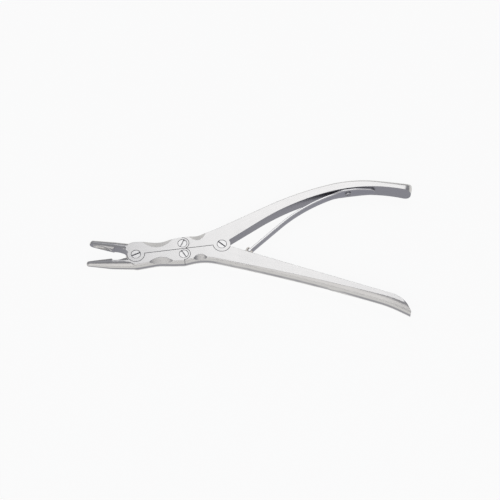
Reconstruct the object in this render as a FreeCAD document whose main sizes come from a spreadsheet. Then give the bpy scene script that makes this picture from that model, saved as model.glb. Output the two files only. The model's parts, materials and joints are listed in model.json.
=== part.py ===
"""Double-action bone rongeur: two jaws, two handles, four slotted pivot screws and a leaf spring.

Frame: the origin is on the handle pivot's axis at the flat back face, +X runs along the centre line
towards the grips, +Y towards the upper handle and +Z towards the screw heads.
"""
import FreeCAD, Part
import math
import os
import Sketcher

V = FreeCAD.Vector

# Driving sizes in millimetres and degrees
SIZES = {
    # Levers and their joints
    "pivot_span": 47.14,
    "link_reach": 21.3,
    "link_spread": 3.45,
    "bite_open": 24.4,
    "thickness": 6.2,
    "seam_gap": 0.1,
    "lap_gap": 0.05,
    "turn_gap": 0.15,
    "disc_radius": 4.7,
    "eye_radius": 3.55,
    "crown_radius": 4.65,
    "crown_half": 4.7,
    # Fork between the inner faces of the handles
    "fork_reach": 0.6,
    "fork_angle": 28.1,
    # Upper handle, outer edge
    "arch_side": 8.4,
    "arch_lead": 0.7,
    "arch_lead_drop": 2.0,
    "arch_waist_radius": 50.0,
    "arch_rise": 20.8,
    "arch_straight": 31.1,
    "arch_bow_radius": 175.0,
    "arch_bow_heading": 8.0,
    "arch_crest_radius": 68.0,
    "arch_drop": 15.5,
    "arch_tail": 24.0,
    # Upper handle, inner edge
    "arch_inner_straight": 25.4,
    "arch_inner_radius": 128.0,
    "arch_inner_heading": 8.4,
    "arch_seat_radius": 80.0,
    "arch_seat_drop": 22.0,
    "arch_inner_tail": 12.0,
    # Upper handle, end of the grip
    "arch_end_x": 109.5,
    "arch_end_y": 19.5,
    "arch_end_lean": 68.7,
    "arch_end_run": 3.4,
    "arch_nose_radius": 2.0,
    "arch_nose_heading": 115.0,
    "arch_corner_radius": 7.0,
    "arch_exit_heading": 158.0,
    "arch_end_reach": 111.6,
    # Lower handle, outer edge
    "reach_side": 8.7,
    "reach_lead": 4.0,
    "reach_lead_drop": 8.0,
    "reach_waist_radius": 25.0,
    "reach_rise": 21.5,
    "reach_bow_radius": 950.0,
    "reach_bow_heading": 27.0,
    "reach_hook_radius": 60.0,
    "reach_hook_heading": 38.0,
    "reach_tail": 12.0,
    # Lower handle, inner edge and end of the grip
    "reach_inner_angle": 27.7,
    "reach_inner_straight": 108.0,
    "reach_corner_at": 96.6,
    "reach_corner_lean": 4.0,
    "reach_corner_radius": 16.5,
    "reach_corner_heading": 80.0,
    "reach_nose_radius": 1.2,
    "reach_exit_heading": 120.0,
    "reach_end_reach": 94.4,
    # Grips widen away from the joint
    "taper_start": 8.0,
    "grip_width": 9.0,
    "end_round": 3.6,
    # Jaws, outer edge of tail and boss
    "upper_jaw_side": 8.5,
    "lower_jaw_side": 8.75,
    "jaw_lead": 5.5,
    "upper_jaw_lead_drop": 6.0,
    "lower_jaw_lead_drop": 6.5,
    "jaw_shoulder_radius": 15.0,
    "upper_jaw_shoulder_drop": 7.5,
    "lower_jaw_shoulder_drop": 8.5,
    "upper_jaw_shoulder_run": 2.8,
    "lower_jaw_shoulder_run": 6.0,
    "upper_jaw_waist_radius": 14.0,
    "lower_jaw_waist_radius": 20.0,
    "upper_jaw_rise": 6.5,
    "lower_jaw_rise": 4.0,
    "upper_boss_start": 0.4,
    "lower_boss_start": 1.0,
    "jaw_boss_radius": 6.4,
    "jaw_boss_heading": 262.0,
    # Bills of the jaws, turned forms that lean towards the bite
    "bite_offset": 0.3,
    "bite_gap": 0.08,
    "bill_reach": 28.0,
    "upper_root_radius": 3.4,
    "lower_root_radius": 3.25,
    "upper_bill_lift": 4.15,
    "lower_bill_lift": 4.35,
    "upper_bill_lean": 6.3,
    "lower_bill_lean": 8.0,
    "upper_neck_radius": 2.87,
    "lower_neck_radius": 2.98,
    "upper_bill_taper": 4.1,
    "lower_bill_taper": 6.5,
    "upper_nose_radius": 2.0,
    "lower_nose_radius": 1.55,
    "arch_from": 5.0,
    "notch_reach": 13.4,
    "notch_run": 0.5,
    "upper_arch_depth": 1.0,
    "lower_arch_depth": 1.9,
    "upper_arch_radius": 9.5,
    "lower_arch_radius": 7.0,
    "cup_centre": 19.7,
    "cup_wheel_radius": 11.0,
    "cup_half_width": 1.4,
    "cup_depth": 1.5,
    # Hollows ground into the corners of the levers
    "hollow_lean": 32.0,
    "jaw_hollow_radius": 15.7,
    "jaw_hollow_at": 34.5,
    "jaw_hollow_side": 5.5,
    "upper_jaw_hollow_depth": 1.39,
    "lower_jaw_hollow_depth": 0.91,
    "handle_hollow_radius": 6.6,
    "handle_hollow_at": 12.8,
    "handle_hollow_side": 7.4,
    "upper_handle_hollow_depth": 1.6,
    "lower_handle_hollow_depth": 1.36,
    # Pivot screws
    "pivot_head_radius": 2.6,
    "link_head_radius": 2.5,
    "head_gap": 0.06,
    "head_height": 1.4,
    "head_sunk": 0.06,
    "head_edge": 0.15,
    "shank_radius": 1.8,
    "shank_clearance": 0.05,
    "open_link_clearance": 0.1,
    "thread_clearance": 0.02,
    "shank_bevel": 0.3,
    "hole_room": 0.3,
    "drill_point": 0.6,
    "slot_width": 0.7,
    "slot_depth": 0.7,
    "jaw_pivot_slot": 17.0,
    "handle_pivot_slot": 132.0,
    "upper_link_slot": 60.0,
    "lower_link_slot": 115.0,
    # Leaf spring
    "leaf_thickness": 1.2,
    "leaf_root_angle": 10.1,
    "leaf_leave_angle": 3.1,
    "leaf_seat_gap": 0.02,
    "leaf_kink_radius": 20.0,
    "leaf_kink": 10.2,
    "leaf_bow_radius": 95.0,
    "leaf_slope": 37.0,
    "leaf_pad_width": 6.8,
    "leaf_neck_width": 4.6,
    "leaf_tip_width": 4.0,
    "leaf_neck_at": 66.0,
    "leaf_pad_at": 71.5,
    "leaf_pad_end": 79.0,
    "leaf_root_at": 87.5,
    "leaf_root_width": 5.4,
    "leaf_root_round": 2.9,
    "bead_radius": 0.95,
    # Spring screw
    "spring_screw_angle": 1.0,
    "spring_head_radius": 1.75,
    "spring_head_height": 0.9,
    "spring_shank_radius": 1.1,
    "spring_shank_depth": 3.2,
    "spring_slot_width": 0.6,
    "spring_slot_depth": 0.5,
    # Spring socket
    "socket_radius": 1.9,
    "socket_width": 4.4,
    "socket_rise": 1.76,
    "socket_shank_radius": 1.1,
    "socket_shank_length": 4.0,
    "bead_gap": 0.08,
    "mouth_below": 61.0,
    "mouth_above": 44.0,
}

doc = FreeCAD.newDocument("BoneRongeur")
sheet = doc.addObject("Spreadsheet::Sheet", "Sizes")
for row, (alias, value) in enumerate(SIZES.items(), start=1):
    sheet.set(f"A{row}", alias)
    sheet.set(f"B{row}", str(value))
    sheet.setAlias(f"B{row}", alias)
doc.recompute()

# Levels that several pieces share
MID = "thickness / 2"
LOWER_TOP = "(thickness - lap_gap) / 2"
UPPER_BOTTOM = "(thickness + lap_gap) / 2"


def named(text):
    """Put the sheet's name before each alias in an expression."""
    result = ""
    word = ""
    for letter in text + " ":
        if letter.isalnum() or letter == "_":
            word += letter
            continue
        result += f"Sizes.{word}" if word in SIZES else word
        result += letter
        word = ""
    return result.strip()


def value_of(text):
    """The number that an expression gives now."""
    result = sheet.evalExpression(named(text))
    return float(getattr(result, "Value", result))


def new_body(label):
    body = doc.addObject("PartDesign::Body", label.title().replace("_", ""))
    body.Label = label
    return body


def attach(item, body, role, base, turn, axis):
    """Fix a sketch or primitive to one of the body's origin planes, with an offset bound to the sheet."""
    plane = next(part for part in body.Origin.OriginFeatures if part.Role == role)
    item.AttachmentSupport = [(plane, "")]
    item.MapMode = "FlatFace"
    if turn is not None:
        rotation = FreeCAD.Rotation(V(*axis), value_of(turn))
        item.AttachmentOffset = FreeCAD.Placement(V(0, 0, 0), rotation)
        if abs(value_of(turn)) > 1e-9:
            item.setExpression("AttachmentOffset.Rotation.Angle", named(turn))
    for letter, text in zip("xyz", base):
        item.setExpression(f"AttachmentOffset.Base.{letter}", named(text))


def new_sketch(body, name, role="XY_Plane", base=("0", "0", "0"), turn=None, axis=(0, 0, 1)):
    sketch = body.newObject("Sketcher::SketchObject", name)
    attach(sketch, body, role, base, turn, axis)
    return sketch


def bind(sketch, constraint, text):
    index = sketch.addConstraint(constraint)
    sketch.setExpression(f"Constraints[{index}]", named(text))


class Outline:
    """A closed chain of lines and arcs, each vertex placed by expressions on the sheet.

    Runs and bends follow a heading, as a pen would. The side is 1, or -1 for the mirror image.
    """

    def __init__(self, x, y, side=1, heading=None):
        self.side = side
        self.heading = heading
        self.vertices = [(x, y)]
        self.arcs = []

    def to(self, x, y):
        """A straight line to a vertex."""
        self.vertices.append((x, y))
        self.arcs.append(None)
        return self

    def arc_to(self, x, y, radius, turn):
        """An arc to a vertex, turn 1 to the left and -1 to the right."""
        self.vertices.append((x, y))
        self.arcs.append((radius, turn))
        return self

    def run(self, length, heading):
        """A straight line of a length along a heading."""
        x, y = self.vertices[-1]
        self.heading = heading
        return self.to(f"{x} + ({length}) * cos({heading})", f"{y} + ({length}) * sin({heading})")

    def bend(self, radius, heading):
        """An arc that leaves along the last heading and ends along a new one."""
        x, y = self.vertices[-1]
        old = self.heading
        turn = 1 if value_of(heading) > value_of(old) else -1
        sign = "+" if turn == 1 else "-"
        self.heading = heading
        end_x = f"{x} {sign} ({radius}) * (sin({heading}) - sin({old}))"
        end_y = f"{y} {sign} ({radius}) * (cos({old}) - cos({heading}))"
        return self.arc_to(end_x, end_y, radius, turn)

    def joined(self, other):
        """This chain closed by another one that starts at the same end of the piece."""
        outline = Outline(*self.vertices[0], side=self.side)
        outline.vertices = self.vertices + other.vertices[::-1]
        back = [None if arc is None else (arc[0], -arc[1]) for arc in reversed(other.arcs)]
        outline.arcs = self.arcs + [None] + back
        return outline

    def points(self):
        return [V(value_of(x), self.side * value_of(y), 0) for x, y in self.vertices]

    def draw(self, sketch):
        """Write the chain into a sketch, with the last vertex joined to the first by a line."""
        points = self.points()
        segments = self.arcs + [None]
        ends = []
        for number, arc in enumerate(segments):
            begin = points[number]
            end = points[(number + 1) % len(points)]
            if arc is None:
                index = sketch.addGeometry(Part.LineSegment(begin, end), False)
                ends.append((index, 1, 2))
                continue
            radius = value_of(arc[0])
            turn = arc[1] * self.side
            chord = end - begin
            left = V(-chord.y, chord.x, 0).normalize()
            centre = (begin + end) / 2 + left * turn * math.sqrt(radius ** 2 - chord.Length ** 2 / 4)
            first, last = (begin, end) if turn == 1 else (end, begin)
            angles = [math.atan2(p.y - centre.y, p.x - centre.x) for p in (first, last)]
            whole = Part.Circle(centre, V(0, 0, 1), radius)
            index = sketch.addGeometry(Part.ArcOfCircle(whole, *angles), False)
            ends.append((index, 1, 2) if turn == 1 else (index, 2, 1))
        for number, (x, y) in enumerate(self.vertices):
            index, begin, _ = ends[number]
            before, _, finish = ends[number - 1]
            point = points[number]
            sketch.addConstraint(Sketcher.Constraint("Coincident", before, finish, index, begin))
            bind(sketch, Sketcher.Constraint("DistanceX", -1, 1, index, begin, point.x), x)
            y = f"{self.side} * ({y})"
            bind(sketch, Sketcher.Constraint("DistanceY", -1, 1, index, begin, point.y), y)
            if segments[number] is not None:
                radius = segments[number][0]
                bind(sketch, Sketcher.Constraint("Radius", index, value_of(radius)), radius)
        return sketch


def circle(sketch, x, y, radius):
    """A full circle placed by expressions."""
    centre = V(value_of(x), value_of(y), 0)
    index = sketch.addGeometry(Part.Circle(centre, V(0, 0, 1), value_of(radius)), False)
    bind(sketch, Sketcher.Constraint("DistanceX", -1, 1, index, 3, centre.x), x)
    bind(sketch, Sketcher.Constraint("DistanceY", -1, 1, index, 3, centre.y), y)
    bind(sketch, Sketcher.Constraint("Radius", index, value_of(radius)), radius)
    return sketch


def pad(body, sketch, length):
    feature = body.newObject("PartDesign::Pad", f"{sketch.Name}Pad")
    feature.Profile = sketch
    feature.setExpression("Length", named(length))
    doc.recompute()
    return feature


def pocket(body, sketch, length, upward=False):
    """Cut a length below a sketch, or above it; a pocket that takes nothing away is a mistake."""
    before = body.Shape.Volume
    feature = body.newObject("PartDesign::Pocket", f"{sketch.Name}Cut")
    feature.Profile = sketch
    feature.Reversed = upward
    feature.setExpression("Length", named(length))
    doc.recompute()
    if body.Shape.Volume > before - 1e-6:
        raise RuntimeError(f"{sketch.Name} cuts nothing from {body.Label}")
    return feature


def turned(body, kind, sketch):
    """Turn a half section about its own vertical axis, to add or to cut."""
    feature = body.newObject(kind, f"{sketch.Name}Turned")
    feature.Profile = sketch
    feature.ReferenceAxis = (sketch, ["V_Axis"])
    feature.Angle = 360
    doc.recompute()
    return feature


def half_section(sketch, corners):
    """A half section from its corners, each a radius and a level."""
    outline = Outline(*corners[0])
    for radius, level in corners[1:]:
        outline.to(radius, level)
    return outline.draw(sketch)


# Levers: a crowned blank, its laps and its hollows

def crowned_blank(body, inner, outer):
    """Pad an outline about the mid plane and round its whole outer edge to a crown."""
    sketch = new_sketch(body, f"{body.Label}_blank", base=("0", "0", f"{MID} - crown_half"))
    inner.joined(outer).draw(sketch)
    blank = pad(body, sketch, "2 * crown_half")
    marks = outer.points()

    def on_outer_edge(edge):
        """Both ends of a level edge lie on the outer chain."""
        box = edge.BoundBox
        if box.ZLength > 0.01:
            return False
        ends = [V(vertex.X, vertex.Y, 0) for vertex in edge.Vertexes]
        return all(min((end - mark).Length for mark in marks) < 0.01 for end in ends)

    edges = [f"Edge{n}" for n, edge in enumerate(blank.Shape.Edges, start=1) if on_outer_edge(edge)]
    crown = body.newObject("PartDesign::Fillet", f"{body.Label}_crown")
    crown.Base = (blank, edges)
    crown.setExpression("Radius", named("crown_radius"))
    doc.recompute()


def cut_faces(body, top, bottom):
    """Cut everything above one side profile and below another."""
    for name, outline in (("top", top), ("bottom", bottom)):
        base = ("0", "0", "2 * pivot_span")
        sketch = new_sketch(body, f"{body.Label}_{name}", role="XZ_Plane", base=base)
        outline.draw(sketch)
        pocket(body, sketch, "4 * pivot_span")


def level_profile(sign):
    """Side profile beyond the flat face of a jaw."""
    face = f"{MID} {sign} thickness / 2"
    far = f"{MID} {sign} 2 * crown_half"
    outline = Outline("-2 * pivot_span", face)
    outline.to("0", face)
    outline.to("0", far)
    outline.to("-2 * pivot_span", far)
    return outline


def grip_profile(sign, reach):
    """Side profile beyond the face of a handle, which widens to a rounded end."""
    face = f"{MID} {sign} thickness / 2"
    wide = f"{MID} {sign} grip_width / 2"
    end = f"{MID} {sign} (grip_width / 2 - end_round)"
    far = f"{MID} {sign} 2 * crown_half"
    outline = Outline("-1 * pivot_span", face)
    outline.to("taper_start", face)
    outline.to(f"{reach} - end_round", wide)
    outline.arc_to(reach, end, "end_round", -1 if sign == "+" else 1)
    outline.to(f"{reach} + 2 * end_round", end)
    outline.to(f"{reach} + 2 * end_round", far)
    outline.to("-1 * pivot_span", far)
    return outline


def lap(body, name, layer, x, y, radius):
    """A round lap in one layer of the lever, and room for its mate in the other layer."""
    if layer == "upper":
        own_base, clear_base, up = UPPER_BOTTOM, UPPER_BOTTOM, False
    else:
        own_base, clear_base, up = "0", LOWER_TOP, True
    room = new_sketch(body, f"{name}_room", base=("0", "0", clear_base))
    circle(room, x, y, f"{radius} + turn_gap")
    pocket(body, room, "thickness", upward=up)
    disc = new_sketch(body, name, base=("0", "0", own_base))
    circle(disc, x, y, radius)
    pad(body, disc, LOWER_TOP)


def clear_seam(body, side):
    """Keep the round eye of a link on its own side of the centre line."""
    left = "-1 * link_reach - 1.3 * eye_radius"
    right = "-1 * link_reach + 1.3 * eye_radius"
    outline = Outline(left, "seam_gap", side)
    outline.to(right, "seam_gap")
    outline.to(right, "-1 * link_spread")
    outline.to(left, "-1 * link_spread")
    sketch = new_sketch(body, f"{body.Label}_seam", base=("0", "0", "2 * thickness"))
    pocket(body, outline.draw(sketch), "4 * thickness")


def pivot_hole(body, name, layer, x, y, head, clearance="shank_clearance"):
    """Seat and running hole in an upper lap, or the threaded hole in a lower one."""
    if layer == "upper":
        seat = new_sketch(body, f"{name}_seat", base=("0", "0", "thickness"))
        circle(seat, x, y, f"{head} + head_gap")
        pocket(body, seat, "head_height + head_sunk + lap_gap")
    gap = clearance if layer == "upper" else "thread_clearance"
    bore = new_sketch(body, f"{name}_bore", base=("0", "0", "2 * thickness"))
    circle(bore, x, y, f"shank_radius + {gap}")
    pocket(body, bore, "3 * thickness")


def hollow(body, side, kind):
    """A shallow hollow ground by a wheel across the outer corner of the front face."""
    cutter = body.newObject("PartDesign::SubtractiveCylinder", f"{body.Label}_hollow")
    half = "2 * thickness"
    out = f"({kind}_hollow_radius - {body.Label}_hollow_depth)"
    across = f"{kind}_hollow_side + {out} * sin(hollow_lean) - {half} * cos(hollow_lean)"
    above = f"thickness + {out} * cos(hollow_lean) + {half} * sin(hollow_lean)"
    base = (f"-1 * {kind}_hollow_at", f"{side} * ({across})", above)
    attach(cutter, body, "XY_Plane", base, "90 + hollow_lean", (-side, 0, 0))
    cutter.setExpression("Radius", named(f"{kind}_hollow_radius"))
    cutter.setExpression("Height", named(f"2 * {half}"))
    doc.recompute()


# Jaws

def bill_point(along, across, tilt):
    """Expressions for a point measured along and across the bite from the jaw pivot."""
    x = f"-1 * pivot_span - ({along}) * cos({tilt}) + ({across}) * sin({tilt})"
    y = f"({along}) * sin({tilt}) + ({across}) * cos({tilt})"
    return x, y


def build_jaw(label, side, tilt, level, link_y):
    """One jaw: tail and boss from a crowned blank, a round tapering bill with a bite face and a cup."""
    own = label.split("_")[0]
    body = new_body(label)

    # Tail and boss
    inner = Outline("-1 * link_reach - seam_gap", "seam_gap", side)
    inner.to("-1 * pivot_span", "seam_gap")
    inner.to("-1 * pivot_span", "-1 * jaw_boss_radius")
    outer = Outline("-1 * link_reach - seam_gap", f"{label}_side", side)
    outer.run("jaw_lead", f"180 + {label}_lead_drop")
    outer.bend("jaw_shoulder_radius", f"180 + {label}_shoulder_drop")
    outer.run(f"{label}_shoulder_run", f"180 + {label}_shoulder_drop")
    outer.bend(f"{label}_waist_radius", f"180 - {label}_rise")
    rest = f"({outer.vertices[-1][0]} + pivot_span - {own}_boss_start)"
    outer.run(f"{rest} / cos({label}_rise)", f"180 - {label}_rise")
    outer.bend("jaw_boss_radius", "jaw_boss_heading")
    outer.run("jaw_boss_radius", "jaw_boss_heading")
    crowned_blank(body, inner, outer)

    # Bill, two cones and a round nose turned about an axis that leans towards the bite
    x, y = bill_point("0", f"{own}_bill_lift", tilt)
    turn = f"90 - {side} * ({tilt} - {own}_bill_lean)"
    sketch = new_sketch(body, f"{own}_bill", base=(x, f"{side} * ({y})", MID), turn=turn)
    nose = f"{own}_nose_radius"
    taper = f"{own}_bill_taper"
    reach = f"notch_reach + ({own}_neck_radius - {nose} * cos({taper})) / tan({taper})"
    section = Outline("0", "0")
    section.to(f"{own}_root_radius", "0")
    section.to(f"{own}_neck_radius", "notch_reach")
    section.to(f"{nose} * cos({taper})", reach)
    section.arc_to("0", f"{reach} + {nose} * (1 - sin({taper}))", nose, 1)
    turned(body, "PartDesign::Revolution", section.draw(sketch))
    cut_faces(body, level_profile("+"), level_profile("-"))

    # Bite face, with an arch between the pivot and the notch
    cut = Outline("shank_radius - pivot_span", "seam_gap", side)
    cut.to(*bill_point("0", level, tilt))
    cut.to(*bill_point("arch_from", level, tilt))
    top = f"{level} + {own}_arch_depth"
    cut.arc_to(*bill_point("notch_reach - notch_run", top, tilt), f"{own}_arch_radius", 1)
    cut.to(*bill_point("notch_reach", level, tilt))
    cut.to(*bill_point("2 * bill_reach", level, tilt))
    cut.to(*bill_point("2 * bill_reach", "-1 * bill_reach", tilt))
    cut.to("shank_radius - pivot_span", "-2 * bill_reach")
    sketch = new_sketch(body, f"{own}_bite", base=("0", "0", "2 * thickness"))
    pocket(body, cut.draw(sketch), "4 * thickness")

    # Cup, cut by a round-edged wheel that stands across the bite
    cup = body.newObject("PartDesign::SubtractiveTorus", f"{own}_cup")
    x, y = bill_point("cup_centre", f"{level} + cup_depth - cup_wheel_radius", tilt)
    attach(cup, body, "XY_Plane", (x, f"{side} * ({y})", MID), None, None)
    cup.setExpression("Radius1", named("cup_wheel_radius - cup_half_width"))
    cup.setExpression("Radius2", named("cup_half_width"))
    doc.recompute()

    # Laps and holes
    hinge_layer = "upper" if side == 1 else "lower"
    lap(body, f"{label}_disc", hinge_layer, "-1 * pivot_span", "0", "disc_radius")
    lap(body, f"{label}_eye", "upper", "-1 * link_reach", link_y, "eye_radius")
    clear_seam(body, side)
    clearance = "open_link_clearance" if side == 1 else "shank_clearance"
    pivot_hole(body, f"{label}_pivot", hinge_layer, "-1 * pivot_span", "0", "pivot_head_radius")
    pivot_hole(body, f"{label}_link", "upper", "-1 * link_reach", link_y, "link_head_radius", clearance)
    hollow(body, side, "jaw")
    return body


upper_jaw = build_jaw("upper_jaw", 1, "bite_open", "bite_offset + bite_gap", "link_spread")
lower_jaw = build_jaw("lower_jaw", -1, "0", "bite_gap - bite_offset", "-1 * link_spread")


# Handles

def finish_handle(body, side, link_y, reach):
    """Faces, laps, holes and hollows that both handles share."""
    cut_faces(body, grip_profile("+", reach), grip_profile("-", reach))
    hinge_layer = "upper" if side == 1 else "lower"
    lap(body, f"{body.Label}_disc", hinge_layer, "0", "0", "disc_radius")
    lap(body, f"{body.Label}_eye", "lower", "-1 * link_reach", link_y, "eye_radius")
    clear_seam(body, side)
    pivot_hole(body, f"{body.Label}_pivot", hinge_layer, "0", "0", "pivot_head_radius")
    pivot_hole(body, f"{body.Label}_link", "lower", "-1 * link_reach", link_y, "link_head_radius")
    hollow(body, side, "handle")


def end_cut(body, outline):
    """Cut the end of a grip to its outline, closed around the waste."""
    x, y = outline.vertices[-1]
    outline.to(f"{x} + pivot_span", y)
    outline.to(f"{x} + pivot_span", f"{outline.vertices[0][1]} - pivot_span / 2")
    outline.to(outline.vertices[0][0], f"{outline.vertices[0][1]} - pivot_span / 2")
    sketch = new_sketch(body, f"{body.Label}_end", base=("0", "0", "2 * grip_width"))
    pocket(body, outline.draw(sketch), "4 * grip_width")


# Upper handle, arched like a bow
upper_handle = new_body("upper_handle")
arch_inner = Outline("-1 * link_reach + seam_gap", "seam_gap")
arch_inner.to("fork_reach", "seam_gap")
arch_inner.run("arch_inner_straight", "fork_angle")
arch_inner.bend("arch_inner_radius", "arch_inner_heading")
SEAT_X = f"{arch_inner.vertices[-1][0]} + arch_seat_radius * sin(arch_inner_heading)"
SEAT_Y = f"{arch_inner.vertices[-1][1]} - arch_seat_radius * cos(arch_inner_heading)"
arch_inner.bend("arch_seat_radius", "-1 * arch_seat_drop")
arch_inner.run("arch_inner_tail", "-1 * arch_seat_drop")
arch_outer = Outline("-1 * link_reach + seam_gap", "arch_side")
arch_outer.run("arch_lead", "-1 * arch_lead_drop")
arch_outer.bend("arch_waist_radius", "arch_rise")
arch_outer.run("arch_straight", "arch_rise")
arch_outer.bend("arch_bow_radius", "arch_bow_heading")
arch_outer.bend("arch_crest_radius", "-1 * arch_drop")
arch_outer.run("arch_tail", "-1 * arch_drop")
crowned_blank(upper_handle, arch_inner, arch_outer)
arch_end = Outline(
    "arch_end_x - arch_nose_radius * cos(arch_end_lean)",
    "arch_end_y - arch_nose_radius * sin(arch_end_lean)",
)
arch_end.run("arch_end_run + arch_nose_radius", "arch_end_lean")
arch_end.bend("arch_nose_radius", "arch_nose_heading")
arch_end.bend("arch_corner_radius", "arch_exit_heading")
arch_end.run("2 * arch_corner_radius", "arch_exit_heading")
end_cut(upper_handle, arch_end)
finish_handle(upper_handle, 1, "link_spread", "arch_end_reach")

# Threaded hole of the spring screw
sketch = new_sketch(upper_handle, "spring_hole", base=(SEAT_X, SEAT_Y, MID), turn="spring_screw_angle")
half_section(sketch, [
    ("0", "arch_seat_radius - 2 * spring_shank_radius"),
    ("spring_shank_radius + thread_clearance", "arch_seat_radius - 2 * spring_shank_radius"),
    ("spring_shank_radius + thread_clearance", "arch_seat_radius + spring_shank_depth + hole_room"),
    ("0", "arch_seat_radius + spring_shank_depth + hole_room + drill_point"),
])
turned(upper_handle, "PartDesign::Groove", sketch)

# Lower handle, nearly straight with a hooked end
lower_handle = new_body("lower_handle")
reach_inner = Outline("-1 * link_reach + seam_gap", "seam_gap", -1)
reach_inner.to("fork_reach", "seam_gap")
reach_inner.run("reach_inner_straight", "reach_inner_angle")
reach_outer = Outline("-1 * link_reach + seam_gap", "reach_side", -1)
reach_outer.run("reach_lead", "-1 * reach_lead_drop")
reach_outer.bend("reach_waist_radius", "reach_rise")
reach_outer.bend("reach_bow_radius", "reach_bow_heading")
reach_outer.bend("reach_hook_radius", "reach_hook_heading")
reach_outer.run("reach_tail", "reach_hook_heading")
crowned_blank(lower_handle, reach_inner, reach_outer)
corner_heading = "(reach_inner_angle + reach_corner_lean)"
reach_end = Outline(
    f"fork_reach + reach_corner_at * cos(reach_inner_angle) - reach_nose_radius * cos({corner_heading})",
    f"seam_gap + reach_corner_at * sin(reach_inner_angle) - reach_nose_radius * sin({corner_heading})",
    -1,
)
reach_end.run("reach_nose_radius", corner_heading)
reach_end.bend("reach_corner_radius", "reach_corner_heading")
reach_end.bend("reach_nose_radius", "reach_exit_heading")
reach_end.run("10 * reach_nose_radius", "reach_exit_heading")
end_cut(lower_handle, reach_end)
finish_handle(lower_handle, -1, "-1 * link_spread", "reach_end_reach")


# Pivot screws

def pivot_screw(label, x, y, head, slot_turn):
    """A slotted screw turned about its axis: head, shank and a tail ground flush with the back face."""
    body = new_body(label)
    top = "(thickness - head_sunk)"
    under = f"({top} - head_height)"
    sketch = new_sketch(body, f"{label}_section", "XZ_Plane", (x, "0", f"-1 * ({y})"))
    half_section(sketch, [
        ("0", "0"),
        ("shank_radius - head_edge", "0"),
        ("shank_radius", "head_edge"),
        ("shank_radius", under),
        (head, under),
        (head, f"{top} - head_edge"),
        (f"{head} - head_edge", top),
        ("0", top),
    ])
    turned(body, "PartDesign::Revolution", sketch)
    slot = Outline(f"-2 * {head}", "-1 * slot_width / 2")
    slot.to(f"2 * {head}", "-1 * slot_width / 2")
    slot.to(f"2 * {head}", "slot_width / 2")
    slot.to(f"-2 * {head}", "slot_width / 2")
    sketch = new_sketch(body, f"{label}_slot", base=(x, y, top), turn=slot_turn)
    pocket(body, slot.draw(sketch), "slot_depth")
    return body


pivot_screw("jaw_pivot_screw", "-1 * pivot_span", "0", "pivot_head_radius", "jaw_pivot_slot")
pivot_screw("handle_pivot_screw", "0", "0", "pivot_head_radius", "handle_pivot_slot")
pivot_screw("upper_link_screw", "-1 * link_reach", "link_spread", "link_head_radius", "upper_link_slot")
pivot_screw("lower_link_screw", "-1 * link_reach", "-1 * link_spread", "link_head_radius", "lower_link_slot")


# Leaf spring

def leaf_chain(offset):
    """The face of the leaf at an offset below the one that lies on the handle."""
    radius = f"(arch_seat_radius - leaf_seat_gap - {offset})"
    x = f"{SEAT_X} + {radius} * sin(leaf_root_angle)"
    y = f"{SEAT_Y} + {radius} * cos(leaf_root_angle)"
    chain = Outline(x, y, heading="(180 - leaf_root_angle)")
    chain.bend(radius, "(180 + leaf_leave_angle)")
    chain.bend(f"(leaf_kink_radius - {offset})", "(180 + leaf_leave_angle + leaf_kink)")
    chain.bend(f"(leaf_bow_radius - {offset})", "(180 + leaf_slope)")
    return chain


leaf_spring = new_body("leaf_spring")
lower_face = leaf_chain("leaf_thickness")
upper_face = leaf_chain("0")
END_X, END_Y = leaf_chain("leaf_thickness / 2").vertices[-1]
END_RISE = f"({END_X} - fork_reach) * sin(reach_inner_angle) + ({END_Y} + seam_gap) * cos(reach_inner_angle)"
LEAF_RUN = f"({END_RISE} - socket_rise) / sin(leaf_slope + reach_inner_angle)"
for chain in (lower_face, upper_face):
    chain.run(LEAF_RUN, "(180 + leaf_slope)")
sketch = new_sketch(leaf_spring, "leaf_strip", base=("0", "0", f"{MID} - leaf_pad_width"))
lower_face.joined(upper_face).draw(sketch)
pad(leaf_spring, sketch, "2 * leaf_pad_width")
for name, sign in (("top", "+"), ("bottom", "-")):
    turn = -1 if sign == "+" else 1
    edge = Outline("0", f"{MID} {sign} leaf_tip_width / 2")
    edge.to("leaf_neck_at", f"{MID} {sign} leaf_neck_width / 2")
    edge.to("leaf_pad_at", f"{MID} {sign} leaf_pad_width / 2")
    edge.to("leaf_pad_end", f"{MID} {sign} leaf_pad_width / 2")
    edge.to("leaf_root_at", f"{MID} {sign} leaf_root_width / 2")
    edge.arc_to("leaf_root_at + leaf_root_round", f"{MID}", "leaf_root_round", turn)
    edge.to("2 * leaf_root_at", f"{MID}")
    edge.to("2 * leaf_root_at", f"{MID} {sign} 2 * leaf_pad_width")
    edge.to("0", f"{MID} {sign} 2 * leaf_pad_width")
    sketch = new_sketch(leaf_spring, f"leaf_{name}", "XZ_Plane", ("0", "0", "2 * pivot_span"))
    pocket(leaf_spring, edge.draw(sketch), "4 * pivot_span")
BEAD_X = f"{upper_face.vertices[-1][0]} + leaf_thickness / 2 * sin(leaf_slope)"
BEAD_Y = f"{upper_face.vertices[-1][1]} - leaf_thickness / 2 * cos(leaf_slope)"
sketch = new_sketch(leaf_spring, "leaf_bead", base=("0", "0", f"{MID} - leaf_tip_width / 2"))
circle(sketch, BEAD_X, BEAD_Y, "bead_radius")
pad(leaf_spring, sketch, "leaf_tip_width")
sketch = new_sketch(leaf_spring, "leaf_hole", base=(SEAT_X, SEAT_Y, MID), turn="spring_screw_angle")
half_section(sketch, [
    ("0", "arch_seat_radius - 3 * leaf_thickness"),
    ("spring_shank_radius + shank_clearance", "arch_seat_radius - 3 * leaf_thickness"),
    ("spring_shank_radius + shank_clearance", "arch_seat_radius + leaf_thickness"),
    ("0", "arch_seat_radius + leaf_thickness"),
])
turned(leaf_spring, "PartDesign::Groove", sketch)

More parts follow.
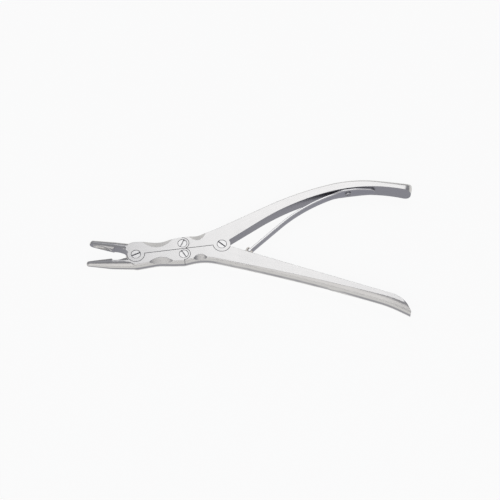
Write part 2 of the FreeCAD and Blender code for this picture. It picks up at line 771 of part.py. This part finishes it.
# Spring screw, its head on the lower face of the leaf
spring_screw = new_body("spring_screw")
SEAT_UNDER = "(arch_seat_radius - leaf_seat_gap - leaf_thickness - leaf_seat_gap)"
seat = (SEAT_X, SEAT_Y, MID)
sketch = new_sketch(spring_screw, "spring_screw_section", base=seat, turn="spring_screw_angle")
half_section(sketch, [
    ("0", f"{SEAT_UNDER} - spring_head_height"),
    ("spring_head_radius - head_edge", f"{SEAT_UNDER} - spring_head_height"),
    ("spring_head_radius", f"{SEAT_UNDER} - spring_head_height + head_edge"),
    ("spring_head_radius", SEAT_UNDER),
    ("spring_shank_radius", SEAT_UNDER),
    ("spring_shank_radius", "arch_seat_radius + spring_shank_depth - shank_bevel"),
    ("spring_shank_radius - shank_bevel", "arch_seat_radius + spring_shank_depth"),
    ("0", "arch_seat_radius + spring_shank_depth"),
])
turned(spring_screw, "PartDesign::Revolution", sketch)
FACE = f"({SEAT_UNDER} - spring_head_height)"
slot = Outline("-2 * spring_head_radius", "-1 * spring_slot_width / 2")
slot.to("2 * spring_head_radius", "-1 * spring_slot_width / 2")
slot.to("2 * spring_head_radius", "spring_slot_width / 2")
slot.to("-2 * spring_head_radius", "spring_slot_width / 2")
face_x = f"{SEAT_X} - {FACE} * sin(spring_screw_angle)"
face_y = f"{SEAT_Y} + {FACE} * cos(spring_screw_angle)"
base = (face_x, MID, f"-1 * ({face_y})")
sketch = new_sketch(spring_screw, "spring_screw_slot", "XZ_Plane", base, "spring_screw_angle", (0, 1, 0))
pocket(spring_screw, slot.draw(sketch), "spring_slot_depth")

# Spring socket, a lug open towards the leaf, with a shank in the lower handle
socket = new_body("spring_socket")
base = (BEAD_X, BEAD_Y, f"{MID} - socket_width / 2")
sketch = new_sketch(socket, "socket_lug", "XY_Plane", base, "reach_inner_angle", (0, 0, -1))
foot = "leaf_seat_gap - socket_rise"
lug = Outline("-1 * socket_radius", foot)
lug.to("socket_radius", foot)
lug.to("socket_radius", "0")
lug.arc_to("0", "socket_radius", "socket_radius", 1)
lug.arc_to("-1 * socket_radius", "0", "socket_radius", 1)
lug.draw(sketch)
pad(socket, sketch, "socket_width")
sketch = new_sketch(socket, "socket_bore", base=(BEAD_X, BEAD_Y, "2 * thickness"))
circle(sketch, "0", "0", "bead_radius + bead_gap")
pocket(socket, sketch, "4 * thickness")
sketch = new_sketch(socket, "socket_mouth", base=(BEAD_X, BEAD_Y, "2 * thickness"))
mouth = Outline("0", "0")
for turn in ("-1 * mouth_below", "0", "mouth_above"):
    mouth.to(f"3 * socket_radius * cos(leaf_slope + {turn})", f"3 * socket_radius * sin(leaf_slope + {turn})")
mouth.draw(sketch)
pocket(socket, sketch, "4 * thickness")

base = (BEAD_X, BEAD_Y, MID)
sketch = new_sketch(socket, "socket_shank", "XY_Plane", base, "reach_inner_angle", (0, 0, -1))
half_section(sketch, [
    ("0", "-1 * socket_rise - socket_shank_length"),
    ("socket_shank_radius - shank_bevel", "-1 * socket_rise - socket_shank_length"),
    ("socket_shank_radius", "-1 * socket_rise - socket_shank_length + shank_bevel"),
    ("socket_shank_radius", "-1 * socket_rise + shank_bevel"),
    ("0", "-1 * socket_rise + shank_bevel"),
])
turned(socket, "PartDesign::Revolution", sketch)
sketch = new_sketch(lower_handle, "socket_hole", "XY_Plane", base, "reach_inner_angle", (0, 0, -1))
half_section(sketch, [
    ("0", "-1 * socket_rise - socket_shank_length - hole_room - drill_point"),
    ("socket_shank_radius + thread_clearance", "-1 * socket_rise - socket_shank_length - hole_room"),
    ("socket_shank_radius + thread_clearance", "-1 * socket_rise + socket_radius"),
    ("0", "-1 * socket_rise + socket_radius"),
])
turned(lower_handle, "PartDesign::Groove", sketch)

doc.recompute()
for item in doc.Objects:
    if "Invalid" in item.State or "Error" in item.State:
        raise RuntimeError(f"{item.Name} did not build: {item.State}")
os.makedirs("parts", exist_ok=True)
for body in doc.findObjects("PartDesign::Body"):
    shape = body.Shape
    if shape.isNull() or not shape.isValid() or len(shape.Solids) != 1:
        raise RuntimeError(f"{body.Label} is not one valid solid")
    shape.exportStep(f"parts/{body.Label}.step")
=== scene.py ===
"""Double-action bone rongeur: ground steel levers, turned screws and a leaf spring on a pale table."""
import json
import math

import bmesh
import bpy
import numpy as np
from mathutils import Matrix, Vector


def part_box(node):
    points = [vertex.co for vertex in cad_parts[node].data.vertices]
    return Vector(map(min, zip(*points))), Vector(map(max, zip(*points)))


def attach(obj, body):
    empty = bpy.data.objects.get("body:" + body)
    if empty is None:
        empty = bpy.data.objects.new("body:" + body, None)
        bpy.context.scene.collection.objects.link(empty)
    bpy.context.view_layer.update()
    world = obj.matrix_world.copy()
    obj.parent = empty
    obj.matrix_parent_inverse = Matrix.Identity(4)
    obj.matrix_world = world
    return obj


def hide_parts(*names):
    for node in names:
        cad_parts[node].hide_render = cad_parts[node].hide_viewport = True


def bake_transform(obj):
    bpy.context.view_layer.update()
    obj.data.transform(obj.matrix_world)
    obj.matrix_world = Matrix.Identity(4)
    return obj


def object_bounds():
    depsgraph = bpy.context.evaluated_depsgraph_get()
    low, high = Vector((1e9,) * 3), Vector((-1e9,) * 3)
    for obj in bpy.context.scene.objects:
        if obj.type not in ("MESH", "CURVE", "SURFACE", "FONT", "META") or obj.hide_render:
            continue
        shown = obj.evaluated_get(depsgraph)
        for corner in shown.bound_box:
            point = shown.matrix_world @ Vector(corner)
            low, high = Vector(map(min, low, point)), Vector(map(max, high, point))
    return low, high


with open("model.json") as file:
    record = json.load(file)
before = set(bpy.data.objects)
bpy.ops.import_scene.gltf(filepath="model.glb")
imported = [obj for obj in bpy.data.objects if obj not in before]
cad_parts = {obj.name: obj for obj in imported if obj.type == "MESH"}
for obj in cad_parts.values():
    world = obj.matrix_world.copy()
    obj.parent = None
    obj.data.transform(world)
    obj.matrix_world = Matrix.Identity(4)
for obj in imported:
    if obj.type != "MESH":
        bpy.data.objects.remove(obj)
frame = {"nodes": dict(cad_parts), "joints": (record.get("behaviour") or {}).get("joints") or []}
cad_box = [list(corner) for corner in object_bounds()]
MM = 0.001


# Jaws and handles
# Four levers forged from stainless steel. Their flats are ground and brushed to a satin that follows
# each lever, and their edges are broken by hand. Sides and hollows are a little rougher and carry
# painted shade: faces that lean from level are painted darker and warmer, and upright faces and a band
# along every edge are painted a deep bluish grey. This stands in for the dark surroundings that they
# mirror and for the shade in the seams.
class Wire:
    """An output in a material's node tree; arithmetic on it adds one Math node for each operator."""

    def __init__(self, tree, socket=None):
        self.tree = tree
        self.socket = socket

    def node(self, kind, settings=(), sockets=(), output=0):
        """Add a node: its settings come first, then the values or links of its sockets."""
        made = self.tree.nodes.new(kind)
        for name, value in dict(settings).items():
            setattr(made, name, value)
        for name, value in dict(sockets).items():
            if isinstance(value, Wire):
                self.tree.links.new(value.socket, made.inputs[name])
            else:
                made.inputs[name].default_value = value
        return Wire(self.tree, made.outputs[output])

    def math(self, operation, *values):
        """One Math node on values or wires."""
        return self.node("ShaderNodeMath", {"operation": operation}, dict(enumerate(values)))

    def __add__(self, other):
        return self.math("ADD", self, other)

    def __radd__(self, other):
        return self.math("ADD", other, self)

    def __sub__(self, other):
        return self.math("SUBTRACT", self, other)

    def __rsub__(self, other):
        return self.math("SUBTRACT", other, self)

    def __mul__(self, other):
        return self.math("MULTIPLY", self, other)

    def __rmul__(self, other):
        return self.math("MULTIPLY", other, self)


def round_centre(wire, centre, reach):
    """The way that scratches lie when they run round a centre: along, across and up, in metres.

    Along is the angle about the centre times the reach, and across is the distance from it.
    """
    place = wire.node("ShaderNodeTexCoord", output="Object")
    apart = wire.node("ShaderNodeVectorMath", {"operation": "SUBTRACT"}, {0: place, 1: (*centre, 0.0)})
    x = wire.node("ShaderNodeSeparateXYZ", (), {"Vector": apart}, output="X")
    y = wire.node("ShaderNodeSeparateXYZ", (), {"Vector": apart}, output="Y")
    z = wire.node("ShaderNodeSeparateXYZ", (), {"Vector": apart}, output="Z")
    along = wire.math("ARCTAN2", x, y) * reach
    across = wire.math("SQRT", x * x + y * y)
    return wire.node("ShaderNodeCombineXYZ", (), {"X": along, "Y": across, "Z": z})


def satin_steel(name, lay, bright, shade, roughness, edge):
    """Brushed steel whose scratches run the way that the function lay gives.

    Clouds, faint streaks and hair-fine scratches are three noises, the last two stretched along the
    lay. A face that leans from level is a little rougher and gets painted shade, a darker and warmer
    colour. One that stands upright is rougher too and gets deeper painted shade, a bluish grey. An edge,
    found where the rounded normal leaves the face's own, gets the same deep painted shade, which stands
    in for the shade in seams.
    """
    stretched = (0.04, 1.0, 1.0)
    cloud_scale, streak_scale, scratch_scale = 110.0, 900.0, 6000.0
    scratch_depth = 0.02 * MM
    # Painted shade: this tint darkens and warms faces that lean from level.
    lean_shade_tint = (0.86, 0.85, 0.835)
    # Painted shade: this tint paints upright faces and edges a deep bluish grey.
    painted_shade_tint = (0.34, 0.34, 0.385)

    steel = bpy.data.materials.new(name)
    steel.use_nodes = True
    shader = steel.node_tree.nodes["Principled BSDF"]
    shader.inputs["Metallic"].default_value = 1.0
    wire = Wire(steel.node_tree)
    surface = lay(wire)
    drawn = wire.node("ShaderNodeVectorMath", {"operation": "MULTIPLY"}, {0: surface, 1: stretched})
    clouds = wire.node("ShaderNodeTexNoise", (), {"Vector": surface, "Scale": cloud_scale, "Detail": 4.0})
    streaks = wire.node("ShaderNodeTexNoise", (), {"Vector": drawn, "Scale": streak_scale, "Detail": 2.0})
    scratches = wire.node("ShaderNodeTexNoise", (), {"Vector": drawn, "Scale": scratch_scale, "Detail": 2.0})

    rounded = wire.node("ShaderNodeBevel", {"samples": 8}, {"Radius": edge})
    sharp = wire.node("ShaderNodeNewGeometry", output="Normal")
    agree = wire.node("ShaderNodeVectorMath", {"operation": "DOT_PRODUCT"}, {0: rounded, 1: sharp}, "Value")
    # Painted shade at edges: this mask marks a band along every edge, painted dark as the shade in seams.
    painted_edge_shade = wire.node("ShaderNodeMapRange", (), {"Value": agree, "From Min": 0.99, "From Max": 0.88})
    facing = wire.node("ShaderNodeTexCoord", output="Normal")
    level = wire.math("ABSOLUTE", wire.node("ShaderNodeSeparateXYZ", (), {"Vector": facing}, output="Z"))
    smooth = {"interpolation_type": "SMOOTHSTEP"}
    # This mask and the next pick faces by their lean from level; both carry painted shade into the colour
    # and add roughness.
    leaning = wire.node("ShaderNodeMapRange", smooth, {"Value": level, "From Min": 0.9985, "From Max": 0.96})
    upright = wire.node("ShaderNodeMapRange", smooth, {"Value": level, "From Min": 0.30, "From Max": 0.03})

    share = 0.5 * clouds + 0.5 * streaks
    lean_shade_colour = (*(tint * part for tint, part in zip(lean_shade_tint, shade)), 1.0)
    painted_shade_colour = (*(tint * part for tint, part in zip(painted_shade_tint, shade)), 1.0)
    colours = {"data_type": "RGBA"}
    flat = wire.node("ShaderNodeMix", colours, {0: share, 6: shade, 7: bright}, 2)
    # Painted shade: faces that lean from level are mixed towards a darker, warmer colour.
    ground = wire.node("ShaderNodeMix", colours, {0: leaning, 6: flat, 7: lean_shade_colour}, 2)
    # Painted shade: upright faces and edge bands are mixed towards a deep bluish grey.
    painted_shade_share = wire.math("MAXIMUM", upright, painted_edge_shade)
    colour = wire.node("ShaderNodeMix", colours, {0: painted_shade_share, 6: ground, 7: painted_shade_colour}, 2)
    rough = roughness + 0.06 * (clouds - 0.5) + 0.05 * (scratches - 0.5) + 0.05 * leaning + 0.05 * upright
    relief = wire.node(
        "ShaderNodeBump",
        (),
        {"Strength": 0.05, "Distance": scratch_depth, "Height": scratches, "Normal": rounded},
    )
    for socket, value in (("Base Color", colour), ("Roughness", rough), ("Normal", relief)):
        steel.node_tree.links.new(value.socket, shader.inputs[socket])
    return steel


def finish_in(node, steel):
    """Give a solid one steel in place of what it has."""
    materials = frame["nodes"][node].data.materials
    materials.clear()
    materials.append(steel)


def bow_centre(start, heading, radius):
    """Centre of the circle that leaves a point on a heading and bends to the right, in metres."""
    turn = math.radians(heading)
    return (start[0] + radius * math.sin(turn), start[1] - radius * math.cos(turn))


# Each lever's scratches leave its pivot on a heading, in degrees, and bend to the right with a radius,
# or to the left where the radius is negative.
pivots = {joint["name"]: tuple(joint["pos_m"][:2]) for joint in frame["joints"]}
lever_lays = {
    "upper_jaw": ("jaw_pivot", 176.0, -700 * MM),
    "lower_jaw": ("jaw_pivot", 184.0, 700 * MM),
    "upper_handle": ("handle_pivot", 28.0, 150 * MM),
    "lower_handle": ("handle_pivot", -27.5, 900 * MM),
}
for lever, (pivot, heading, radius) in lever_lays.items():
    centre = bow_centre(pivots[pivot], heading, radius)
    steel = satin_steel(
        f"{lever}_steel",
        lambda wire, centre=centre, radius=radius: round_centre(wire, centre, abs(radius)),
        bright=(0.83, 0.825, 0.81, 1.0),
        shade=(0.73, 0.725, 0.715, 1.0),
        roughness=0.27,
        edge=0.2 * MM,
    )
    finish_in(lever, steel)


def smooth_patches(mesh):
    """The mesh's places, its triangles, and the number of the smooth patch that each triangle is in.

    Corners with the same place and the same normal are one point. A patch is all the triangles that
    such points join, found by passing the lowest number on until none changes.
    """
    places = np.empty(len(mesh.vertices) * 3, np.float32)
    mesh.vertices.foreach_get("co", places)
    corners = np.empty(len(mesh.loops), np.int32)
    mesh.loops.foreach_get("vertex_index", corners)
    normals = np.empty(len(mesh.loops) * 3, np.float32)
    mesh.corner_normals.foreach_get("vector", normals)
    at_corner = places.reshape(-1, 3)[corners]
    joined = np.hstack((at_corner, normals.reshape(-1, 3).round(3) + 0.0))
    point = np.unique(joined, axis=0, return_inverse=True)[1].reshape(-1, 3)
    number = np.arange(point.max() + 1)
    while True:
        lowest = number[point].min(axis=1)
        before = number.copy()
        np.minimum.at(number, point.ravel(), np.repeat(lowest, 3))
        if (number == before).all():
            break
    merged, triangles = np.unique(at_corner, axis=0, return_inverse=True)
    triangles = triangles.reshape(-1, 3)
    whole = (triangles != np.roll(triangles, 1, axis=1)).all(axis=1)
    return merged, triangles[whole], number[point[whole, 0]]


def round_grip(lever, heading, radius, rings):
    """A copy of a handle whose square end is rounded off across its thickness.

    The heading is the way that the grip points, in degrees. Rings of points are cut in before the
    end, and each is drawn in towards the middle of the thickness: the half thickness less the
    radius, plus the height of a circle at that length.
    """
    places, triangles, patch = smooth_patches(frame["nodes"][lever].data)
    turn = math.radians(heading)
    forward = np.array((math.cos(turn), math.sin(turn), 0.0))
    end = (places @ forward).max()
    mesh = bpy.data.meshes.new(f"{lever}_rounded")
    mesh.from_pydata(places.tolist(), [], triangles.tolist())
    mesh.attributes.new("patch", "INT", "FACE").data.foreach_set("value", patch.astype(np.int32))
    mesh.validate()
    shape = bmesh.new()
    shape.from_mesh(mesh)
    for angle in np.linspace(0.0, math.pi / 2, rings)[:-1]:
        everything = shape.verts[:] + shape.edges[:] + shape.faces[:]
        ring = forward * (end - radius * (1 - math.sin(angle)))
        bmesh.ops.bisect_plane(shape, geom=everything, dist=1e-7, plane_co=ring, plane_no=forward)
    layer = shape.faces.layers.int["patch"]
    for edge in shape.edges:
        edge.smooth = len({face[layer] for face in edge.link_faces}) == 1
    for face in shape.faces:
        face.smooth = True
    shape.to_mesh(mesh)
    shape.free()
    points = np.empty((len(mesh.vertices), 3))
    mesh.vertices.foreach_get("co", points.ravel())
    near = np.clip((points @ forward - end + radius) / radius, 0.0, 1.0)
    last = points[points @ forward > end - radius]
    middle = (last[:, 2].min() + last[:, 2].max()) / 2
    half = (last[:, 2].max() - last[:, 2].min()) / 2
    share = (half - radius + radius * np.sqrt(1 - near**2)) / half
    points[:, 2] = middle + (points[:, 2] - middle) * share
    mesh.vertices.foreach_set("co", points.ravel())
    mesh.update()
    mesh.materials.append(frame["nodes"][lever].data.materials[0])
    piece = bpy.data.objects.new(f"{lever}_rounded", mesh)
    bpy.context.scene.collection.objects.link(piece)
    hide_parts(lever)
    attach(piece, lever)


round_grip("upper_handle", heading=-21.3, radius=3.9 * MM, rings=9)


# Pivot screws and the screw of the spring
# Five slotted screws turned from stainless bar. The lathe leaves fine rings round each axis, and the
# heads are finished a little brighter than the levers that they are sunk in.
RING_REACH = 2 * MM
pivot_screws = ("jaw_pivot_screw", "handle_pivot_screw", "upper_link_screw", "lower_link_screw")
for screw in (*pivot_screws, "spring_screw"):
    low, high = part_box(screw)
    axis = ((low.x + high.x) / 2, (low.y + high.y) / 2)
    steel = satin_steel(
        f"{screw}_steel",
        lambda wire, axis=axis: round_centre(wire, axis, RING_REACH),
        bright=(0.86, 0.855, 0.84, 1.0),
        shade=(0.72, 0.72, 0.72, 1.0),
        roughness=0.24,
        edge=0.08 * MM,
    )
    finish_in(screw, steel)


# Leaf spring
# A strip of spring steel bowed by hand, held by its wide root under the upper handle's screw. Its free
# end is rolled into a bead that sits in the socket, so the strip spans the gap between the two handles.
LEAF_THICKNESS = 1.2 * MM
BEAD_RADIUS = 0.95 * MM
LEAF_CORNER = 0.28 * MM
ROOT_ROUND = 2.9 * MM
NECK_ANGLE = 0.9
LINE_POINTS = 4001
STRIP_ROWS = 150
CORNER_COLUMNS = 6
leaf_low, leaf_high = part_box("leaf_spring")
bead = (leaf_low.x + BEAD_RADIUS, leaf_low.y + BEAD_RADIUS)
leaf_middle = (leaf_low.z + leaf_high.z) / 2
leaf_slope = 37.0
leaf_run = 23.8 * MM
# Each bend is a radius and a turn in degrees, and each width stands at a place along X.
leaf_bends = ((94.4 * MM, 23.7), (19.4 * MM, 10.2), (79.38 * MM, 13.2))
leaf_widths = (
    (bead[0], 4.12 * MM),
    (66.0 * MM, 4.6 * MM),
    (71.5 * MM, 6.8 * MM),
    (79.0 * MM, 6.8 * MM),
    (87.5 * MM, 5.4 * MM),
)


def leaf_line(length):
    """Place and heading of the leaf's middle line at lengths from the bead.

    The curvature is nought along the straight run and one over the radius in each bend. The heading
    is its sum over the length, and the place is the sum of the heading's cosine and sine.
    """
    fine = np.linspace(0.0, length.max(), LINE_POINTS)
    middle = (fine[1:] + fine[:-1]) / 2
    ends = leaf_run + np.cumsum([radius * math.radians(turn) for radius, turn in leaf_bends])
    starts = np.concatenate(([leaf_run], ends[:-1]))
    curvature = sum(
        np.where((middle >= a) & (middle < b), 1 / radius, 0.0)
        for a, b, (radius, turn) in zip(starts, ends, leaf_bends)
    )
    step = fine[1] - fine[0]
    heading = math.radians(leaf_slope) - np.concatenate(([0.0], np.cumsum(curvature * step)))
    half = (heading[1:] + heading[:-1]) / 2
    x = bead[0] + np.concatenate(([0.0], np.cumsum(np.cos(half) * step)))
    y = bead[1] + np.concatenate(([0.0], np.cumsum(np.sin(half) * step)))
    before = np.minimum(length, 0.0)
    return (
        np.interp(length, fine, x) + before * math.cos(heading[0]),
        np.interp(length, fine, y) + before * math.sin(heading[0]),
        np.interp(length, fine, heading),
    )


def leaf_surface(total):
    """The leaf as a grid of points: rows go from the bead to the root, columns go round the section.

    The section is a rectangle with rounded corners. Each corner is a quarter circle of directions,
    moved out by the half width and half thickness less the corner. At the bead the half thickness is
    the height of a circle, and at the root the half width is.
    """
    nose = -BEAD_RADIUS * np.cos(np.linspace(0.0, math.pi / 2, 10))
    neck = BEAD_RADIUS * np.sin(np.linspace(0.0, NECK_ANGLE, 7))[1:]
    strip = np.linspace(BEAD_RADIUS, total - ROOT_ROUND, STRIP_ROWS)
    root = total - ROOT_ROUND * (1 - np.sin(np.linspace(0.0, math.pi / 2, 14)[1:]))
    length = np.concatenate((nose, neck, strip, root))
    x, y, heading = leaf_line(length)
    circle = np.sqrt(np.clip(BEAD_RADIUS**2 - length**2, 0.0, None))
    thick = np.where(length > 0, np.maximum(circle, LEAF_THICKNESS / 2), circle)
    wide = np.interp(x, *zip(*leaf_widths)) / 2
    ending = np.clip((length - total + ROOT_ROUND) / ROOT_ROUND, 0.0, 1.0)
    wide = wide * np.sqrt(1 - ending**2)
    corner = np.minimum(LEAF_CORNER, np.minimum(thick, wide))
    turns = (np.arange(4)[:, None] * 90 + np.linspace(0.0, 90.0, CORNER_COLUMNS)[None, :]).ravel()
    signs = np.array((45.0, 135.0, 225.0, 315.0)).repeat(CORNER_COLUMNS)
    out_across, out_up = np.cos(np.radians(turns)), np.sin(np.radians(turns))
    side_across, side_up = np.sign(np.cos(np.radians(signs))), np.sign(np.sin(np.radians(signs)))
    across = side_across * (wide - corner)[:, None] + out_across * corner[:, None]
    up = side_up * (thick - corner)[:, None] + out_up * corner[:, None]
    points = np.stack(
        (
            x[:, None] - up * np.sin(heading)[:, None],
            y[:, None] + up * np.cos(heading)[:, None],
            leaf_middle - across,
        ),
        axis=-1,
    )
    step_across = np.diff(across, axis=1, prepend=across[:, -1:])
    step_up = np.diff(up, axis=1, prepend=up[:, -1:])
    return points, length, np.cumsum(np.hypot(step_across, step_up), axis=1)


def tube_mesh(name, points, length, around):
    """A mesh of a grid that is closed round its columns, with along and around as its map."""
    rows, columns = points.shape[:2]
    row, column = np.meshgrid(np.arange(rows - 1), np.arange(columns), indexing="ij")
    following = (column + 1) % columns
    here, above = row * columns, (row + 1) * columns
    corners = np.stack((here + column, here + following, above + following, above + column), axis=-1)
    corners = corners.reshape(-1, 4)
    mesh = bpy.data.meshes.new(name)
    mesh.from_pydata(points.reshape(-1, 3), [], corners.tolist())
    along = np.broadcast_to(length[:, None], (rows, columns))
    spread = np.stack((along, around), axis=-1).reshape(-1, 2)
    layer = mesh.uv_layers.new(name="along_and_around")
    layer.data.foreach_set("uv", spread[corners.ravel()].astype(np.float32).ravel())
    mesh.polygons.foreach_set("use_smooth", np.ones(len(corners), bool))
    return mesh


def down_the_leaf(wire):
    """The way that scratches lie on the leaf, from its own map in metres."""
    return wire.node("ShaderNodeUVMap", {"uv_map": "along_and_around"})


leaf_length = leaf_run + sum(radius * math.radians(turn) for radius, turn in leaf_bends)
leaf_mesh = tube_mesh("leaf", *leaf_surface(leaf_length))
leaf_mesh.materials.append(
    satin_steel(
        "spring_strip_steel",
        down_the_leaf,
        bright=(0.84, 0.84, 0.835, 1.0),
        shade=(0.70, 0.70, 0.71, 1.0),
        roughness=0.22,
        edge=0.1 * MM,
    )
)
leaf = bpy.data.objects.new("leaf", leaf_mesh)
bpy.context.scene.collection.objects.link(leaf)
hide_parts("leaf_spring")
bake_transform(leaf)


# Spring socket
# A small lug whose shank is pressed into the lower handle. It is left as it was machined, with rings
# round the bead that it holds, and is darker than the brushed levers.
socket_steel = satin_steel(
    "socket_steel",
    lambda wire: round_centre(wire, bead, RING_REACH),
    bright=(0.66, 0.64, 0.60, 1.0),
    shade=(0.42, 0.39, 0.35, 1.0),
    roughness=0.30,
    edge=0.1 * MM,
)
finish_in("spring_socket", socket_steel)


# Table, light and camera
# The instrument lies on its back on a plain white table. A soft light stands behind it and a broader one
# in front, with the dim room between them, so a round edge turns from light to dark and light again.
TURN = math.radians(8.085)
RISE = math.radians(57.0)
AIM = (15.401 * MM, 0.038 * MM, 0.025 * MM)
DISTANCE = 763.89 * MM
LENS, SENSOR = 100.0, 36.0


def from_picture(x, y, z):
    """A point along the picture's own right, depth and height, turned into the object's frame."""
    return (
        x * math.cos(TURN) + y * math.sin(TURN),
        y * math.cos(TURN) - x * math.sin(TURN),
        z,
    )


def aimed(thing, place, target):
    """An object put at a place, with its minus Z axis turned towards a target."""
    back = np.array(place) - np.array(target)
    back = back / np.linalg.norm(back)
    side = np.cross((0.0, 0.0, 1.0), back)
    side = side / np.linalg.norm(side)
    above = np.cross(back, side)
    matrix = np.eye(4)
    matrix[:3, 0], matrix[:3, 1], matrix[:3, 2], matrix[:3, 3] = side, above, back, place
    thing.matrix_world = [list(row) for row in matrix.T]
    bpy.context.scene.collection.objects.link(thing)
    return thing


lens = bpy.data.cameras.new("camera")
lens.lens = LENS
lens.sensor_width = SENSOR
lens.clip_start = 0.01
lens.clip_end = 10.0
towards = from_picture(*AIM)
away = from_picture(0.0, -math.cos(RISE), math.sin(RISE))
camera = aimed(
    bpy.data.objects.new("camera", lens),
    tuple(t + DISTANCE * a for t, a in zip(towards, away)),
    towards,
)
bpy.context.scene.camera = camera


LIT_MIDDLE = 20 * MM


def softbox(name, azimuth, elevation, distance, width, height, glow, tint):
    """A rectangular lamp on a sphere round the object, turned to the middle of its handles.

    Its power is pi times its area times its glow, so a glow of 1 looks white in a mirror.
    """
    lamp = bpy.data.lights.new(name, "AREA")
    lamp.shape = "RECTANGLE"
    lamp.size = width
    lamp.size_y = height
    lamp.energy = math.pi * width * height * glow
    lamp.color = tint
    a, e = math.radians(azimuth), math.radians(elevation)
    middle = from_picture(LIT_MIDDLE, 0.0, 0.0)
    out = from_picture(math.sin(a) * math.cos(e), -math.cos(a) * math.cos(e), math.sin(e))
    place = tuple(m + distance * o for m, o in zip(middle, out))
    return aimed(bpy.data.objects.new(name, lamp), place, middle)


softbox(
    "light_behind",
    azimuth=174.0,
    elevation=54.0,
    distance=1.0,
    width=0.50,
    height=0.46,
    glow=1.00,
    tint=(1.0, 0.99, 0.975),
)
softbox(
    "light_in_front",
    azimuth=0.0,
    elevation=34.0,
    distance=1.3,
    width=2.0,
    height=1.45,
    glow=0.82,
    tint=(1.0, 0.985, 0.96),
)

world = bpy.data.worlds.new("studio")
world.use_nodes = True
world.node_tree.nodes["Background"].inputs["Color"].default_value = (0.30, 0.305, 0.335, 1.0)
world.node_tree.nodes["Background"].inputs["Strength"].default_value = 1.0
bpy.context.scene.world = world
bpy.context.scene.view_settings.view_transform = "Standard"

# The table glows white where the camera or a mirror sees it, and takes the shadow with what is left.
table_reach = 3.0
table_level = cad_box[0][2]
white_share = 0.92
table_mesh = bpy.data.meshes.new("table")
table_mesh.from_pydata(
    [(x * table_reach, y * table_reach, table_level) for x, y in ((-1, -1), (1, -1), (1, 1), (-1, 1))],
    [],
    [(0, 1, 2, 3)],
)
table = bpy.data.objects.new("table", table_mesh)
bpy.context.scene.collection.objects.link(table)
paper = bpy.data.materials.new("white_paper")
paper.use_nodes = True
paper.node_tree.nodes.clear()
wire = Wire(paper.node_tree)
lit = wire.node("ShaderNodeBsdfDiffuse", (), {"Color": (0.95, 0.95, 0.95, 1.0)})
white = wire.node("ShaderNodeEmission", (), {"Color": (1.0, 1.0, 1.0, 1.0), "Strength": 1.0})
seen = wire.node("ShaderNodeLightPath", output="Is Camera Ray")
mirrored = wire.node("ShaderNodeLightPath", output="Is Glossy Ray")
through = wire.node("ShaderNodeLightPath", output="Is Transmission Ray")
glowing = white_share * (seen + mirrored + through)
surface = wire.node("ShaderNodeMixShader", (), {0: glowing, 1: lit, 2: white})
end = paper.node_tree.nodes.new("ShaderNodeOutputMaterial")
paper.node_tree.links.new(surface.socket, end.inputs["Surface"])
table_mesh.materials.append(paper)
